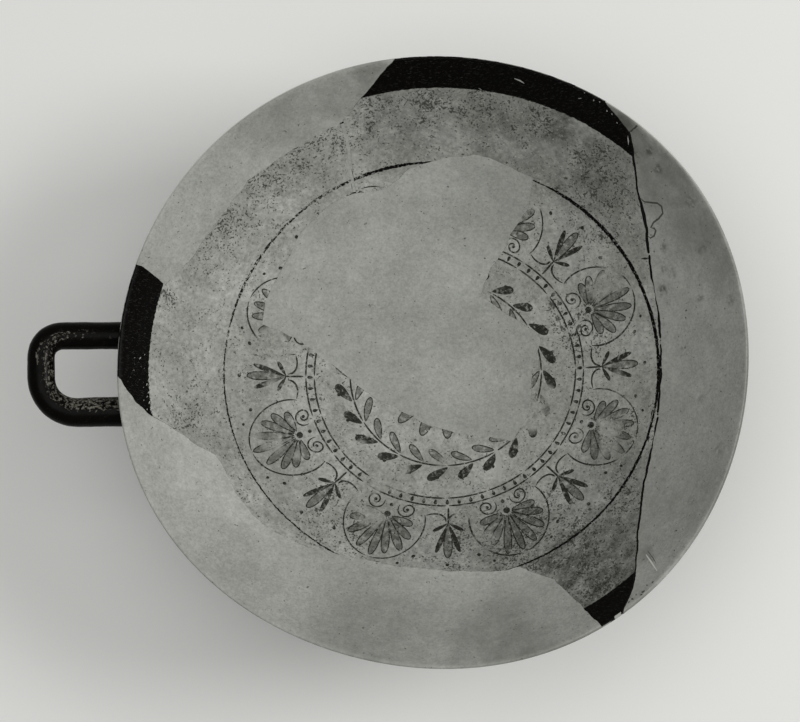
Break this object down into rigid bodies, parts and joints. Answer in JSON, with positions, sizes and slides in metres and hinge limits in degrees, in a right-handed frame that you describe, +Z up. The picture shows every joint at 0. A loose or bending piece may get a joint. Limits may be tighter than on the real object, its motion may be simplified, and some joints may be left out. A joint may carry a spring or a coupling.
{
  "type": "stemmed drinking cup",
  "caption": "Wide shallow stemmed drinking cup of fired clay with one loop handle, broken into sherds and made whole again with plaster fills.",
  "frame": {"origin": "on the ground under the middle of the cup and handle together; the cup's own axis stands at X = +22.8 mm, Y = -0.1 mm", "axes": "+Z up, the way the bowl opens; -X along the handle, away from the bowl; the foot stands on Z = 0"},
  "size_m": [0.3404, 0.2878, 0.12],
  "materials": {
    "pale_slip": "pale slip burnished on fired clay, worn and speckled, with a black gloss band at the rim and black gloss outside",
    "plaster": "smoothed and toned plaster, matt",
    "black_gloss": "black gloss slip, fired to a soft shine and chipped"
  },
  "bodies": {
    "root": {"top_rim_sherd": "pale_slip", "left_sherd": "pale_slip", "handle_sherd": "pale_slip", "right_sherd": "pale_slip", "lower_right_sherd": "pale_slip", "upper_left_rim_fill": "plaster", "centre_fill": "plaster", "lower_left_rim_fill": "plaster", "right_side_fill": "plaster", "top_right_chip_fill": "plaster", "top_joint_fill": "plaster", "handle": "black_gloss", "stem_and_foot": "black_gloss"}
  },
  "joints": []
}
